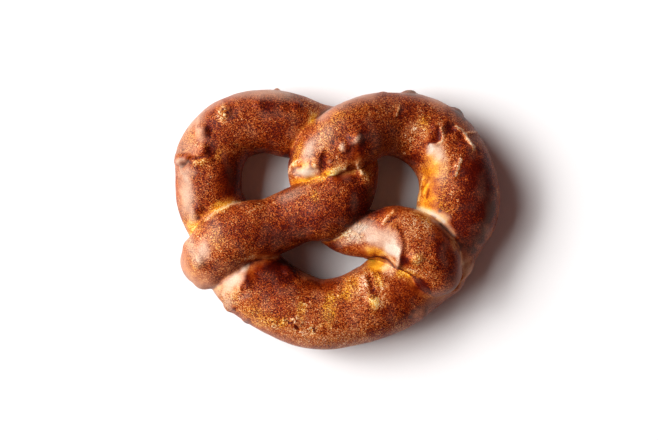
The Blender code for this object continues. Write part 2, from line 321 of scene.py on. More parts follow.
# Bands of painted shade on the sides of ridges and lumps turned from the light, which begin sharply
# at a line and run out to its left: the amount, how far they reach and the line's points.
PAINTED_SHADE_BANDS = [
    (0.36, 2.4, [(-52.4, 37.6), (-52.1, 35.4), (-51.9, 33)]),
    (0.44, 2.4, [(-51, 29.6), (-52, 27.4), (-51.2, 25.4)]),
    (0.3, 1.6, [(-44.4, 44), (-43.2, 41)]),
    (0.45, 2.4, [(38.2, 30.2), (40, 30.4), (41.3, 31.4), (41.9, 32.8), (41.7, 34.2), (41.2, 36)]),
    (0.3, 1.8, [(54.4, 27.6), (52.8, 29.4), (51.8, 31.4), (50.8, 33), (49.4, 34.4)]),
    (0.3, 2.4, [(51.2, 24.6), (50.2, 22.6), (49.6, 20.2), (49, 17.4)]),
    (0.24, 2, [(24.8, -5), (26.3, -9), (26.1, -12), (25.4, -15), (25, -18.4)]),
    (0.14, 1.4, [
        (-35.2, -18.6), (-35.7, -20.4), (-36.2, -22.4), (-36.5, -24.2), (-37.2, -26), (-38.2, -27.6),
    ]),
    (0.36, 2.6, [(-6.4, 26), (-7.4, 23.6), (-7.4, 20.6), (-6.9, 18.6)]),
    (0.14, 2, [(12.6, -22.6), (12.9, -26), (13.6, -29.6)]),
    (0.3, 2.4, [(10, 22.8), (10.6, 20.4), (11.4, 18.4)]),
    (0.3, 2.6, [(9.6, 35.4), (9.4, 32), (9.2, 29)]),
]

# Smooth bands with a painted sheen: the reflection of the bright surroundings on the rims, and a
# painted highlight along the seams and ridges: the amount, the half width and the band's points.
PAINTED_SHEENS = [
    # the rims at the right and the lower right, and the second end beside them
    (0.08, 2.4, [(62.4, 8), (61.6, 2), (60.2, -4)]),
    (0.17, 2.6, [(60.2, -5), (57.4, -9), (54.6, -14), (52, -19)]),
    (0.16, 1.5, [(50.6, -13), (51.8, -17), (51.4, -21)]),
    (0.24, 2.4, [(52, -19), (50, -23.5), (47.5, -28), (43, -30.4), (39, -32.6), (35, -36), (31, -38.8)]),
    (0.14, 0.8, [(42, -3.4), (46, -7.6), (48.4, -10.4), (49.4, -13.4), (50.2, -18)]),
    # the seam of the right loop over the second arm
    (0.65, 1.1, [(32, 4), (36, 3), (40, 1), (42.8, -1)]),
    (0.4, 1.5, [(38.6, 2.6), (41.4, 1.6), (44, 0.4)]),
    (0.4, 0.6, [(38.4, -0.8), (40.8, -1.6)]),
    (0.4, 0.9, [(42.8, -1), (45.4, -4), (46.8, -6.2)]),
    # the rim at the upper right
    (0.16, 2.2, [(47, 43.6), (50.5, 39.8), (54.6, 35.6), (57, 32)]),
    # the rims at the top
    (0.34, 2, [
        (-59, 38), (-54, 43), (-49.5, 46.6), (-45, 48.6), (-40, 50), (-35, 50.6), (-28, 51.2),
        (-20, 50.4),
    ]),
    (0.34, 2.4, [(-6, 41), (-2, 44.6), (3, 47.2), (8, 48.6), (14, 50)]),
    (0.32, 2, [(26, 51.6), (34, 50.4), (39, 48), (43, 46)]),
    # the crease at the left loop's rim
    (0.4, 0.7, [(-62.8, 22.7), (-61, 23.9)]),
    # the belly's lower rim and the rim of the first end
    (0.1, 1.8, [(-39, -39), (-34, -42), (-27, -46), (-20, -49), (-8, -52)]),
    (0.4, 4.2, [(-63, -14), (-62, -20), (-58.4, -24.6), (-53.6, -27.2)]),
]

# Small pale and, with a negative amount, dark spots: pale crumb and painted glints, dark pits
# and painted shade beside lumps: (x, y), radius and amount.
SPOTS_AND_PAINTED_LIGHT = [
    (-44, 42, 0.8, -0.7),
    (-45.9, 43.7, 0.6, -0.7),
    (-53, 18.3, 0.7, -0.4),
    (-55.5, 0.2, 0.7, -0.5),
    (-4.5, 18.3, 0.6, -0.4),
    (37.3, 29.4, 0.7, -0.5),
    (-41.4, -36, 1, -0.4),
    (-39.6, -37.8, 0.7, -0.2),
    (-35.6, -41, 1.2, -0.3),
    # painted shade on the side of a lump turned from the light
    (49, 42.6, 1.6, -0.35),
    (51, 40, 0.8, -0.4),
    (4.3, 21.2, 0.7, -0.5),
    (-1.8, 31.2, 0.7, -0.4),
    (41.3, 3.2, 0.6, -0.5),
    (-9, -44.3, 0.8, -0.7),
    (30.5, -37, 0.7, -0.4),
    # painted glints
    (-25.5, 6.5, 0.7, 0.5),
    (27, 26.2, 0.7, 0.5),
    (30.8, 36.2, 0.7, 0.5),
    (48.2, 7.3, 0.7, 0.4),
    (46, 10, 0.7, 0.4),
    (0.5, -30.7, 0.8, 0.3),
    (-11, -33.3, 0.7, 0.4),
    (-12.7, -34.5, 0.7, 0.4),
    (-10.3, -44, 0.7, 0.5),
    (-9.8, -45.5, 0.7, 0.5),
    (-8, -44.4, 0.7, 0.5),
]

# Torn and cracked places, where pale crumb shows between bits of crust: (x, y) and radius.
TORN = [
    (-45.2, 42.2, 3.2),
    (-25, -42.6, 2),
    (-20.6, -40.8, 1.4),
    (-16.6, -40.6, 2),
    (-9.6, -44.6, 2.2),
    (14.4, -31.4, 1.6),
    (5, -6, 3),
    (8.6, -3, 2.4),
    (8.8, -7, 2.2),
]

# Where the crust is paler, or with a negative amount darker: (x, y), its two radii, the turn of
# the first one from +X in degrees, and the amount. Besides the crust's own tone, these patches
# hold painted light: painted highlights on lit flanks and lumps, painted light in shaded grooves,
# and painted shade and shadow on flanks turned from the light, beside lumps and under strands.
TONE_AND_PAINTED_LIGHT = [
    # left loop and the edges of the first arm
    (-49.6, 24.8, 2.4, 1, 8, 0.24),
    (-47.6, 25.8, 1.4, 2.8, 0, 0.18),
    (-43, 27.6, 4, 2.6, 0, 0.14),
    (-50, 31, 1.8, 3.6, 0, 0.12),
    (-56.4, 27.4, 2.6, 2.6, 0, 0.16),
    # painted highlight on the lit side of the big lump
    (-54.4, 34.4, 1, 2.2, 0, 0.16),
    (-61, 31, 12, 5, 62, 0.05),
    (-61.5, 10, 14, 3.8, 92, 0.03),
    (-55.2, 22.6, 3.2, 1.5, 10, 0.24),
    # paler as painted light on the same lump's lit side
    (-56.4, 33, 2.6, 3.6, 0, 0.18),
    (-46, 42, 2.4, 3.4, 0, 0.34),
    (-46, 6, 7, 2.6, 28, 0.27),
    (-58, -2.4, 3, 3.6, 20, 0.22),
    (-9.8, 41, 1.8, 3.2, -35, 0.28),
    (-8, 46.5, 5, 2.2, -28, 0.12),
    (-5, 35, 4.6, 9, -24, 0.08),
    # painted shade beside a lump, on its side turned from the light
    (-27.4, 45, 4.6, 3.6, 0, -0.32),
    (-24, 36, 4.6, 5.6, 0, -0.1),
    # painted shade beside the torn place
    (-41.6, 43, 1.8, 2.8, 0, -0.2),
    (-18, 47, 5, 3, -10, -0.1),
    (-24.5, 33, 3.4, 6.6, 0, -0.14),
    # painted shade on the sides of lumps turned from the light, and a painted shadow beside the big one
    (-51, 27.2, 2.6, 2.6, 0, -0.1),
    (-51, 36.2, 1.2, 1.6, 0, -0.22),
    (-49.6, 38.2, 3.4, 1.8, 0, -0.06),
    (-54.6, 4, 2, 2.2, 0, -0.08),
    (-33, 3.8, 5, 1.6, 15, 0.14),
    # painted light on the first arm's lower flank, which lies in shade over the slot
    (-34.8, -11.6, 3, 2.6, 0, 0.16),
    (-34.8, -15.4, 2.6, 1.4, 20, 0.22),
    (-25, -15.2, 5.4, 1.5, 10, 0.34),
    (-51, -19, 3.4, 2, -20, -0.14),
    # painted shade on the loop's inner flank, in the right arm's shadow and at the hole's rim
    (-43, 17.6, 5.6, 11, 0, -0.22),
    (-20, 24, 2, 4.6, -20, -0.5),
    (-29.4, 27.6, 6.6, 2.4, 0, -0.22),
    # first arm
    (-55, -11, 6.6, 9, 30, 0.18),
    (-56, -22.6, 6, 4.4, -30, 0.2),
    (-47, -7, 3.6, 6, 0, 0.06),
    (-20, 9, 10, 3, 22, 0.05),
    (-9.4, 9.2, 2.2, 3, 0, 0.14),
    (9.4, 7, 6, 9, 0, -0.44),
    (-18, 11, 5, 3.6, 20, -0.16),
    (6, 1, 8, 4, 0, -0.1),
    (-15, -4, 17, 7, 20, -0.28),
    (-36, -6, 7, 5, 20, -0.1),
    (-24, 6, 7, 4, 20, -0.14),
    (-26, -8.6, 8, 5, 15, -0.1),
    # right arm and its tip
    (-12.6, 19.6, 6, 4.4, 0, 0.38),
    (-12, 30, 4.4, 9.6, -30, 0.02),
    (-15.4, 26.6, 2, 4.4, -25, 0.12),
    # painted light on the seam at the crossing, which lies in shade in its groove
    (-1.4, 19.8, 4.2, 1.5, 16, 0.52),
    (3, 20.9, 2, 0.8, 16, 0.24),
    (-4.8, 17.1, 3.2, 1.3, 30, 0.44),
    (4, 16.6, 7, 2.4, 0, -0.14),
    # painted shade on the flap's side turned from the light
    (-5.4, 22.6, 1, 3.2, 8, -0.28),
    (-6.4, 29, 2.4, 3, 0, 0.14),
    # a painted highlight on a lump, and painted shade beside it
    (7.9, 32, 2.2, 1, 45, 0.26),
    (5.2, 29.6, 1.8, 3.6, -10, -0.14),
    (2, 16.6, 6, 2, 5, -0.1),
    # painted highlights on small lumps
    (2, 29.1, 1.2, 1.8, -15, 0.4),
    (0, 25, 0.6, 1.4, 0, 0.4),
    (-3.4, 23.2, 1.2, 1, 0, 0.16),
    (7.2, 27, 4.6, 3.6, 0, -0.1),
    # painted shade beside a lump
    (12, 31.4, 2.6, 4, 0, -0.12),
    # painted light on the bend's flank, which lies in shade under the arm
    (11.8, 17, 2.6, 3.2, 20, 0.44),
    (3.6, 22.6, 3.4, 1.6, 0, 0.18),
    (4.4, 18, 3.6, 1.6, 0, 0.24),
    (9.2, 22.8, 2.6, 2.6, 0, 0.4),
    # right loop
    (30, 51, 3, 1.5, 0, -0.22),
    # painted shade on the side of a lump turned from the light
    (48, 45.4, 3, 1.6, -40, -0.3),
    (40, 46.6, 5, 2.4, -25, 0.16),
    (42, 37.8, 1.8, 1.8, 0, 0.26),
    (36.4, 32.6, 2, 2.4, 0, 0.18),
    (18, 32, 8, 9, 0, -0.08),
    (28.5, 42.4, 3.6, 4.4, 0, -0.18),
    (29.8, 34.4, 3, 4.6, 0, 0.14),
    (30, 24, 4.6, 2.8, 0, -0.3),
    (37, 20, 3.6, 7, 0, 0.08),
    (40.6, 24.6, 4.8, 6.6, 0, 0.34),
    (36, 8, 4.8, 7.4, 0, 0.16),
    (43, 12, 4.4, 9.6, 0, 0.06),
    (34, 38.4, 3, 4.4, 0, 0.16),
    # painted shade in a dimple
    (45, 37.2, 2.4, 1.4, -36, -0.36),
    (56.6, 27.6, 1.6, 2.4, 0, 0.16),
    (52, 13.4, 1.8, 3.6, 0, 0.22),
    (42.2, 17.6, 2.4, 5, 0, 0.12),
    (42.4, 0.8, 3.4, 1.5, -28, 0.26),
    (46.8, -10.4, 1.6, 3.4, 35, 0.36),
    (52, -18.6, 2, 5, -8, 0.14),
    # painted shade in a dimple
    (46, 36, 2, 1.6, 0, -0.3),
    (39.4, 37, 1.8, 1.4, 30, 0.12),
    (47.4, 31, 2.6, 2.2, 0, -0.1),
    # rows with a negative amount on the outer flank: darker crust with painted shade
    (55.6, 4.4, 5.6, 14, 0, -0.8),
    (61.6, 7, 2.4, 7, 0, -0.08),
    (60.6, -5, 2.4, 4, 20, 0.2),
    (57, 2.4, 2.4, 8, 0, -0.14),
    (56.6, -11.6, 2.2, 4, 30, 0.16),
    # painted shade on the flank turned from the light
    (52.6, -8.6, 3.6, 6, 20, -0.4),
    (55.6, -14, 4, 9, 20, 0.12),
    # painted shade on the outer flank
    (57.6, 21, 3.6, 6, 0, -0.16),
    (61.6, 17, 2.8, 10, 0, -0.16),
    (48, -2, 3, 3.6, 0, -0.2),
    (37, 2.6, 6, 2, -24, 0.1),
    # second arm and the seams beside it
    # painted light on the second arm's slope that faces the light
    (18, -8, 10, 6, -28, 0.16),
    (22.4, -16.4, 2.2, 1.5, -45, 0.24),
    (23.2, -12.2, 2.6, 2.6, 0, -0.1),
    (28, -12.6, 2, 4, 0, 0.16),
    (15.8, -12.8, 3.4, 1.6, -20, 0.22),
    (20.8, -15.4, 3.2, 0.9, -38, 0.3),
    (8.4, -8.2, 4, 1.6, 0, 0.2),
    (7, -5, 6.6, 3.6, 40, 0.26),
    (8.6, -11.4, 3.6, 1.6, -6, 0.14),
    # painted shade where the second arm comes out from under the first arm
    (7, -1.6, 6, 1.6, 40, -0.24),
    (15.4, 3.2, 4.6, 1.6, 10, -0.24),
    (-1.6, -10.6, 3, 1.8, 10, -0.4),
    # painted shade beyond the sharp edge of the second arm's highlight
    (27.4, -16.8, 2.4, 2, 0, -0.34),
    (31.8, -15.6, 2.4, 2.9, 0, 0.26),
    (30, -2, 6, 8, 0, 0.2),
    (36.6, -2, 2.2, 3.4, 0, 0.22),
    # with a negative amount, painted shade on the second arm's side turned from the light
    (41.6, -11.4, 2.4, 3.2, 10, -0.26),
    (42, -8, 2, 8, 20, 0.24),
    (42.8, -13, 4, 13, 8, -0.34),
    (28.4, -20.8, 3, 1.4, -24, 0.16),
    (31.4, -21.6, 4.6, 2, -24, 0.2),
    # belly
    # painted highlight in the notch beside the first end
    (-41.6, -25, 6, 3.8, 35, 0.24),
    (-43, -31, 4.4, 4.4, 0, 0.2),
    (-33, -38, 8, 4.6, -30, 0.16),
    # painted shade where the belly runs under the first arm by the hole's tip
    (-24, -26, 10, 5.6, -20, -0.12),
    (-22, -19, 6.6, 4.4, -25, -0.4),
    (-31, -20.4, 4.4, 3.4, -20, -0.05),
    # painted light on the flanks beside the slot under the first arm
    (-30, -15.4, 6, 1.2, 4, 0.26),
    (-34.9, -20.8, 1.8, 2.6, -10, 0.2),
    # painted shade by the hole's tip
    (-24, -24.2, 6, 2.6, -10, -0.16),
    (-52, -25.6, 4.6, 1.6, -20, 0.14),
    (-16, -35, 3, 3, 0, 0.12),
    (8, -35, 3, 3, 0, 0.1),
    (-6, -40, 2.4, 2.6, 0, 0.1),
    (25, -44, 5, 2, 14, 0.2),
    # painted shade by the hole's tip
    (-20.6, -20.4, 3.4, 4.2, 0, -0.8),
    (-2.4, -34.6, 2.2, 6, -6, 0.12),
    (5, -28, 5.6, 4.4, 20, 0.22),
    (-4, -25.6, 8, 2, 5, -0.12),
    (-13, -39, 3.4, 5.6, 0, 0.14),
    (-4, -37, 2.8, 4.4, 0, 0.08),
    (-16, -46.6, 17, 5.6, -10, 0.18),
    (6, -47.4, 12, 4.6, 10, 0.16),
    (12, -26, 4.4, 6.4, 0, 0.24),
    (18.6, -30, 3, 8, 0, 0.24),
    (15.2, -18.2, 3.6, 3.2, 0, 0.24),
    (20.4, -19.8, 3, 2.8, -40, 0.36),
    (26, -22, 2.4, 2.2, 0, 0.24),
    (15.1, -33.2, 2.3, 2.9, 20, 0.62),
    (23, -37, 7.6, 5, 20, -0.14),
    # painted shadow of the second arm on the belly
    (34, -26.8, 3, 2, -44, -0.5),
    (27, -30, 8, 6, 20, -0.1),
    (13.6, -45, 1.8, 2, 0, -0.24),
]

# Where the skin is stretched smooth, with fewer blisters, in the same form.
SMOOTH = [
    (-60, 30, 3, 9, -20, 0.2),
    (-54.6, 34, 2.4, 3.6, 0, 0.8),
    (-56.4, 27.4, 2.6, 2.6, 0, 0.4),
    (-2.6, 18.8, 5.4, 1.8, 18, 0.7),
    (22, -16.4, 2.6, 1.6, -45, 0.8),
    (8, -12, 4.4, 1.6, -8, 0.5),
    (42, 0.8, 4, 1.8, -28, 0.7),
    (-61, 12, 3.4, 14, 2, 0.9),
    (-54, -11.6, 3.4, 4.4, 0, 0.7),
    (-13, 20, 5, 4, 0, 1),
    (-12, 28, 2.6, 5, -20, 0.5),
    (39, 24, 5, 10, 0, 0.9),
    (37, 10, 4, 8, 0, 0.9),
    (57, 20, 5, 7, 0, 0.7),
    (39, 1.8, 8, 2.6, -30, 1),
    (18, -8, 10, 6, -28, 0.9),
    (22, 3, 8, 2.6, 0, 0.6),
    (27.4, -16.6, 2.2, 2.4, 0, 0.8),
    (14.6, -13.2, 5, 2, 0, 0.7),
    (26, -29, 8, 6, 0, 0.45),
    (34, -26.6, 3.4, 3, 0, 0.6),
    (43, -8, 3, 8, 20, 0.7),
    (-41.6, -25.2, 6, 4, 35, 1),
    (-34.6, -21.6, 2.8, 3.2, 0, 1),
    (-29, -14.6, 6, 2.6, 5, 0.8),
    (-30, -19, 5, 2.4, 0, 0.6),
    (7.6, 25.6, 3.6, 5, 0, 0.8),
    (2, 17, 5, 2.2, 8, 0.8),
    (61, 4, 2.6, 9, 0, 0.8),
    (-24, -18, 7, 3, 0, 0.8),
    (-8, -27, 7, 3, 0, 0.5),
    (16, -18, 5, 3, 0, 0.9),
    (48, -18, 3, 9, 0, 0.6),
    (-44, 16, 4, 9, 0, 0.8),
]

# Where the crust is a clear gold, or with a negative amount a plain brown.
GOLDEN = [
    (-57, -2, 5, 5, 0, 0.5),
    (-47.6, -30.4, 3, 2.4, -40, 0.5),
    (-44.6, -35, 3, 2, -40, 0.4),
    (-45.2, 42.4, 2.6, 3, 0, 0.6),
    (-23, -41.4, 4, 2.6, 0, 0.8),
    (-14.4, -36, 1.8, 4, 0, 0.7),
    (-9.6, -44.6, 2.4, 2, 0, 0.4),
    (-55, 22.8, 3.2, 1.3, 10, 0.6),
    (-47, 26, 1.8, 3, 0, 0.7),
    (37.4, 19.6, 3.4, 6.4, 0, 1.3),
    (36, 9, 3.6, 7, 0, 0.9),
    (43.4, 0.6, 2.6, 2, -30, 1),
    (40.6, 5, 4, 2, -20, 0.8),
    (41, 8, 3, 5, 0, 0.5),
    (35, 39, 2.4, 3, 0, 0.8),
    (-47, 5, 5, 2.6, 30, 0.8),
    (-12, 15.4, 5.6, 1.6, 6, 0.9),
    (-11.4, 21, 4.4, 2.6, 0, 0.5),
    (-15.4, 26.6, 1.8, 4.6, -28, 0.9),
    (-9.6, 40, 2, 3.2, -35, 0.7),
    (-1.6, 19.6, 4.6, 1.8, 16, 1),
    (-5.4, 16.8, 3.4, 1.4, 30, 0.9),
    (11.6, 17, 2, 2, 0, 0.4),
    (-9, 8.8, 1.8, 2.6, 0, 0.9),
    (16.2, -12.9, 4, 2.2, -20, 1.2),
    (35, 0.8, 4.4, 1.8, -30, 0.5),
    (31.8, -16, 2.6, 3, 0, 0.6),
    (15, -33.2, 2.4, 3, 0, 1),
    (25.6, -22, 2.6, 2, 0, 0.9),
    (15.6, -18.4, 4, 3.6, 0, 1.3),
    (16.8, -25, 2, 3.4, 0, 0.8),
    (-2.4, -34.6, 2.6, 6, -6, 1.1),
    (3, -30.6, 3, 2, 10, 1),
    (6, -26.6, 3.4, 3.4, 20, 0.8),
    (-4, -38, 2.6, 4, 0, 0.7),
    (-47, -28.6, 2.2, 1.6, -20, 1),
    (-32, -39, 6, 4, -35, 0.6),
    (-35.6, -21.4, 1.6, 1.8, 0, 0.2),
    (-27, -14.8, 8, 2, 8, -0.8),
    (-60.6, 31, 3, 7, -20, 0.6),
    (-61, 16, 3, 7, 0, 0.8),
    (-61, 3, 3, 7, 0, 0.9),
    (-58.6, -14, 2.6, 6, 20, 0.6),
    (42.2, 18, 2.6, 6, 0, 0.9),
    (57, -8, 2.4, 6, 0, -0.5),
    (52, -17, 2.4, 6, 0, -0.6),
    (21.6, -4.8, 3, 2.4, 0, 0.6),
    (-42, -31, 3, 4, 0, 0.5),
    (-56, 44, 9, 4, 50, 0.5),
    (-4, 35, 3.6, 7, -20, 0.6),
    (-48.5, -8, 3.4, 5, 0, 0.6),
    (-60, -20, 3, 7, 30, 0.6),
    (4, 44, 8, 4, 10, 0.5),
    (30, -22.4, 4.4, 1.8, -24, 0.7),
]

# Painted highlights, where the smooth, stretched skin catches the light, or with a negative amount
# less of them.
PAINTED_HIGHLIGHTS = [
    (-61, 30, 4, 12, -22, 0.3),
    (-60.5, 9, 2.8, 9, 4, 0.66),
    (-58, -12, 2, 8, 20, 0.4),
    (-53.4, -13, 2.8, 4.2, 0, 0.7),
    (-12.4, 19.2, 4.8, 1.9, 6, 1),
    (-0.2, 20.2, 2.6, 0.9, 12, 0.3),
    (-49, -6, 4, 5, 0, 0.12),
    (-48, -29, 2.6, 2.4, 0, 0.35),
    (-44, -34.4, 3, 2.6, -40, 0.25),
    (-11.6, 26.6, 2, 3.6, -10, 0.3),
    (-11, 28, 2.8, 5.4, -22, 0.45),
    (-18, 9.6, 7, 2, 22, 0.26),
    (37.2, 28, 1.4, 2.2, 0, 0.7),
    (40.6, 26.8, 2.8, 3.8, 20, 0.8),
    (2, 29.1, 1.1, 1.7, -15, 0.8),
    (7.9, 32, 2, 0.9, 45, 0.5),
    (-3.2, 23.2, 1, 0.9, 0, 0.4),
    (-24, 50, 12, 2.4, -8, 0.18),
    (42.4, 19, 2.4, 5.6, 0, 0.28),
    (17.4, -7.4, 8.6, 4, -26, 0.7),
    (22.4, -6.4, 3.4, 2.4, -25, 0.2),
    (8.6, -8.2, 4, 1.6, 0, 0.45),
    (14.4, -8.2, 2.6, 1.6, 0, 0.2),
    (-54.6, 34, 1.8, 3, 0, 0.45),
    (-60.4, 25.1, 2.6, 1.4, 0, -0.3),
    (-60.4, 18.6, 3, 3.4, 0, 0.25),
    (22.8, -12.4, 3.8, 3, 0, 0.84),
    (24.6, -15.6, 1, 3.2, 0, 0.7),
    (7.6, -5.2, 6.4, 2.8, 36, 0.56),
    (-57.4, 0.2, 1.8, 1.8, 0, 0.45),
    (-5, 32, 3.4, 6, -20, 0.28),
    (-56.4, 27.4, 2.4, 2.4, 0, 0.2),
    (-41.4, -24.6, 6.4, 3, 36, 0.75),
    (-36.8, -20, 3, 1, 42, 0.4),
    (-43.6, -30.6, 2.6, 4, 0, 0.3),
    (-37, -31, 2.4, 1.4, 30, 0.35),
    (20.4, -19.8, 2.8, 2.4, -40, 0.5),
]

# Blisters stand in groups, with the finest grain over and between them. A noise has its size,
# detail and roughness. A span leads its first two values to 0 and 1, or to its last two.
BLISTER_SIZE = 0.95
BLISTER_SPAN = (0.52, 0.12)  # from a blister's foot to its top, in shares of its size
BLISTER_MEAN = 0.25
GROUP_NOISE = (2.0, 1.0, 0.5)
GROUP_SPAN = (0.36, 0.62, 0.20, 1.0)  # from between two groups to inside one
GRAIN_SIZE = 0.28
GRAIN_MEAN = 0.5
SMOOTH_GRAIN = 0.25  # what is left of the finest grain on smooth skin
CRUMB_NOISE = (1.3, 3.0, 0.65)
CRUMB_SPAN = (0.42, 0.58)
CRUMB_MEAN = 0.35

BLISTER_PALER = 0.22
GRAIN_DARKER = 0.80
CRUMB_PALER = 0.60
PAINTED_HIGHLIGHT_MOST = 0.9
RELIEF = 0.10  # height of a blister
GRAIN_DEPTH = 0.4  # in blister heights, like the crumb's
CRUMB_HEIGHT = 3.0
ROUGHNESS_SPAN = (0.0, 1.0, 0.30, 0.42)  # from smooth to blistered skin
CRUST_SHINE = 0.09

# Colours of the crust from pale crumb to nearly black, of golden skin in the same steps, and of
# the painted highlight.
BAKED_COLOURS = [
    (0.00, (0.74, 0.56, 0.40)),
    (0.14, (0.68, 0.39, 0.18)),
    (0.28, (0.60, 0.21, 0.055)),
    (0.42, (0.44, 0.095, 0.016)),
    (0.56, (0.31, 0.045, 0.005)),
    (0.70, (0.20, 0.018, 0.001)),
    (0.85, (0.10, 0.006, 0.001)),
    (1.00, (0.045, 0.002, 0.001)),
]
GOLDEN_COLOURS = [
    (0.00, (0.80, 0.63, 0.27)),
    (0.14, (0.76, 0.41, 0.04)),
    (0.28, (0.68, 0.28, 0.012)),
    (0.42, (0.50, 0.145, 0.006)),
    (0.56, (0.33, 0.066, 0.004)),
    (0.70, (0.20, 0.026, 0.003)),
    (0.85, (0.10, 0.010, 0.002)),
    (1.00, (0.045, 0.004, 0.002)),
]
PAINTED_HIGHLIGHT_COLOURS = [(0.0, (0.60, 0.40, 0.27)), (0.6, (0.64, 0.46, 0.33)), (1.0, (0.70, 0.57, 0.45))]

# One long window beside the pretzel, made of boxes so that it can be dimmer near its ends: the
# box's azimuth from +X and its elevation in degrees, its size in m and its power.
WINDOW_DISTANCE = 4.0
WINDOW_BOXES = [
    ("window_high", 168.0, 51.0, (2.5, 1.9), 85.0),
    ("window_back", 150.0, 38.0, (2.2, 1.4), 98.0),
    ("window_middle", 175.0, 38.0, (2.2, 1.4), 88.0),
    ("window_front", 198.0, 38.0, (2.0, 1.4), 34.0),
    ("window_low_back", 150.0, 22.0, (2.2, 1.1), 28.0),
    ("window_low_front", 182.0, 22.0, (2.2, 1.1), 24.0),
]
FILL_COLOUR = (1.0, 0.54, 0.48, 1.0)
FILL_STRENGTH = 0.115

FLOOR_HALF = 3.0  # in m
PAPER_COLOUR = (0.85, 0.85, 0.85, 1.0)
PAPER_ROUGHNESS = 0.9
PAPER_SHINE = 0.2


def through(stations, step):
    """Values along a smooth curve through the stations, and the station before each of them."""
    points = np.array(stations, float)
    gaps = np.linalg.norm(np.diff(points[:, :3], axis=0), axis=1)
    at = np.concatenate([[0.0], np.cumsum(gaps)])
    slopes = np.diff(points, axis=0) / gaps[:, None]
    tangents = np.empty_like(points)
    tangents[0], tangents[-1] = slopes[0], slopes[-1]
    before, after = gaps[:-1, None], gaps[1:, None]
    tangents[1:-1] = (slopes[:-1] * after + slopes[1:] * before) / (before + after)
    where = np.linspace(0.0, at[-1], int(at[-1] / step))
    k = np.clip(np.searchsorted(at, where, side="right") - 1, 0, len(gaps) - 1)
    gap = gaps[k][:, None]
    t = ((where - at[k]) / gaps[k])[:, None]
    values = (
        (2 * t**3 - 3 * t**2 + 1) * points[k]
        + (t**3 - 2 * t**2 + t) * gap * tangents[k]
        + (3 * t**2 - 2 * t**3) * points[k + 1]
        + (t**3 - t**2) * gap * tangents[k + 1]
    )
    return values, k


def section():
    """The rope's section as unit steps to its side and upwards."""
    angles = np.linspace(0.0, 2 * math.pi, RING_SIDES, endpoint=False)
    power = 2 / FULLNESS
    side = np.sign(np.cos(angles)) * np.abs(np.cos(angles)) ** power
    up = np.sign(np.sin(angles)) * np.abs(np.sin(angles)) ** power
    return side, up


def rings_of(route):
    """Rings of points round the route, with a round cap of shrinking rings at each end."""
    middle = route[:, :3]
    forward = np.gradient(middle, axis=0)
    forward /= np.linalg.norm(forward, axis=1)[:, None]
    side = np.cross(forward, (0.0, 0.0, 1.0))
    side /= np.linalg.norm(side, axis=1)[:, None]
    up = np.cross(side, forward)
    side_steps, up_steps = section()

    def ring(i, scale, push):
        half_width, half_depth = route[i, 3] / 2 * scale, route[i, 4] / 2 * scale
        centre = middle[i] + forward[i] * push
        return (
            centre
            + side[i] * (half_width * side_steps)[:, None]
            + up[i] * (half_depth * up_steps)[:, None]
        )

    turns = [math.pi / 2 * k / (CAP_RINGS + 0.5) for k in range(CAP_RINGS, 0, -1)]
    last = len(route) - 1
    reach = CAP_REACH * route[:, 3] / 2
    rings = [ring(0, math.cos(turn), -reach[0] * math.sin(turn)) for turn in turns]
    rings += [ring(i, 1.0, 0.0) for i in range(len(route))]
    rings += [ring(last, math.cos(turn), reach[last] * math.sin(turn)) for turn in reversed(turns)]
    return rings


def tube_faces(count):
    """Corner numbers of the quads between that many rings."""
    faces = []
    for i in range(count - 1):
        for j in range(RING_SIDES):
            k = (j + 1) % RING_SIDES
            low, high = i * RING_SIDES, (i + 1) * RING_SIDES
            faces.append((low + j, low + k, high + k, high + j))
    return faces


def swept_rope(rings):
    """The rope as one closed tube that passes through itself where it crosses."""
    points = np.concatenate(rings) * MM
    last = (len(rings) - 1) * RING_SIDES
    faces = tube_faces(len(rings))
    faces.append(tuple(reversed(range(RING_SIDES))))
    faces.append(tuple(range(last, last + RING_SIDES)))
    data = bpy.data.meshes.new("rope")
    data.from_pydata(points.tolist(), [], faces)
    tidy = bmesh.new()
    tidy.from_mesh(data)
    bmesh.ops.recalc_face_normals(tidy, faces=tidy.faces)
    tidy.to_mesh(data)
    tidy.free()
    return data


def evaluated_mesh(item):
    """A new mesh with the object's modifiers worked in."""
    graph = bpy.context.evaluated_depsgraph_get()
    return bpy.data.meshes.new_from_object(item.evaluated_get(graph))


def fuse(item):
    """Makes one fine skin of the rope where it touches itself, and softens the creases between."""
    melt = item.modifiers.new("fuse", "REMESH")
    melt.mode = "VOXEL"
    melt.voxel_size = FUSE_SIZE * MM
    soften = item.modifiers.new("soften", "SMOOTH")
    soften.factor = SOFTEN_SHARE
    soften.iterations = SOFTEN_ROUNDS
    item.data = evaluated_mesh(item)
    item.modifiers.clear()


def points_of(data):
    """The mesh's points, in mm."""
    points = np.empty(len(data.vertices) * 3)
    data.vertices.foreach_get("co", points)
    return points.reshape(-1, 3) / MM


def normals_of(data):
    """The way out of the skin at each point."""
    normals = np.empty(len(data.vertices) * 3)
    data.vertex_normals.foreach_get("vector", normals)
    return normals.reshape(-1, 3)


def move_points(data, points):
    data.vertices.foreach_set("co", (points * MM).ravel())
    data.update()


